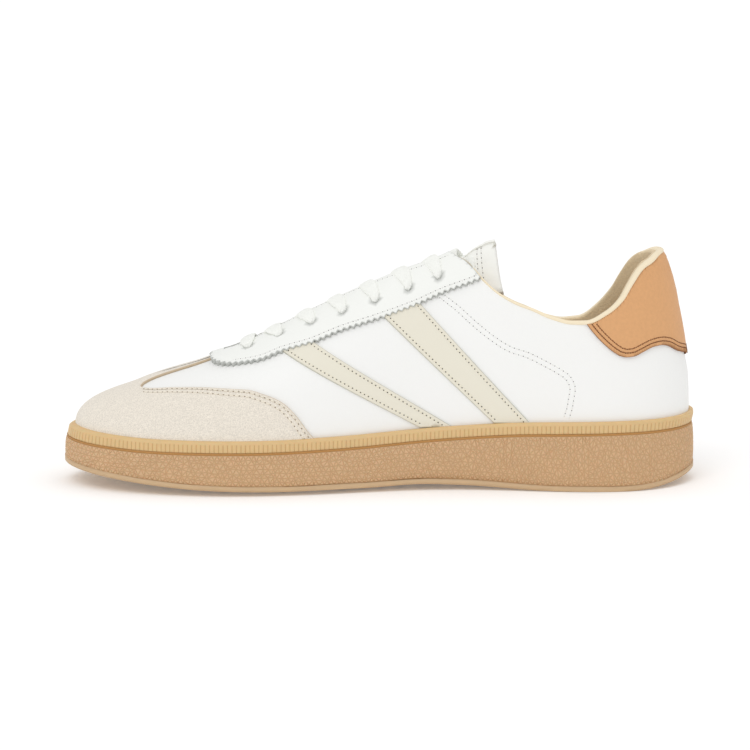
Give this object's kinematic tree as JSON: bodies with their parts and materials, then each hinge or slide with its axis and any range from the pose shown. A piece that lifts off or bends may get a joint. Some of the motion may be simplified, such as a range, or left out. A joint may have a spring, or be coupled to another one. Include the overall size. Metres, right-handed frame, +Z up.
{
  "type": "court shoe",
  "caption": "Low leather court shoe, right foot: T-shaped suede toe, laced throat, padded collar, tan heel tab, striped sides and a gum rubber cup sole",
  "frame": {"origin": "on the ground, under the middle of the shoe's bounding box", "axes": "+X runs along the shoe from toe to heel, -Y is the medial (inner) side, +Z is up"},
  "size_m": [0.2961, 0.1042, 0.1123],
  "materials": {
    "white_leather": "smooth, soft sheen",
    "cream_suede": "napped suede, matt",
    "cream_overlay": "smooth, matt",
    "tan_leather": "smooth with raw brown edge",
    "cream_binding": "rolled soft leather",
    "gum_rubber": "matt gum rubber",
    "foxing_rubber": "ribbed gum rubber",
    "tan_textile": "knitted lining textile",
    "white_textile": "woven lining textile",
    "tongue_leather": "smooth, soft",
    "padding_foam": "open foam",
    "stiffener_board": "thermoplastic sheet",
    "midsole_foam": "foam, matt",
    "lace_cotton": "chevron braid",
    "clear_plastic": "glossy",
    "board_fibre": "pressed fibre"
  },
  "bodies": {
    "shoe": {"outsole": "gum_rubber", "cup_sidewall": "gum_rubber", "foxing_strip": "foxing_rubber", "midsole_filler": "midsole_foam", "insole_board": "board_fibre", "toe_cap": "cream_suede", "quarter_medial": "white_leather", "quarter_lateral": "white_leather", "lace_stay": "white_leather", "stripe_front_medial": "cream_overlay", "stripe_rear_medial": "cream_overlay", "stripe_front_lateral": "cream_overlay", "stripe_rear_lateral": "cream_overlay", "heel_tab": "tan_leather", "topline_binding": "cream_binding", "toe_puff": "stiffener_board", "heel_counter": "stiffener_board", "collar_foam": "padding_foam", "eyelet_backer": "board_fibre", "vamp_lining": "white_textile", "collar_lining": "tan_textile", "shoelace": "lace_cotton", "aglet_medial": "clear_plastic", "aglet_lateral": "clear_plastic"},
    "tongue": {"tongue_outer": "tongue_leather", "tongue_foam": "padding_foam", "tongue_lining": "white_textile"},
    "footbed": {"footbed": "tan_textile"}
  },
  "joints": [
    {"name": "tongue_press", "type": "hinge", "parent": "shoe", "child": "tongue", "pos_m": [-0.072, 0, 0.0515], "axis": [0, -1, 0], "range_deg": [-12, 0], "stiffness_Nm_per_rad": 3},
    {"name": "footbed_lift", "type": "hinge", "parent": "shoe", "child": "footbed", "pos_m": [-0.1352, 0, 0.0171], "axis": [0, -1, 0], "range_deg": [0, 4]}
  ]
}
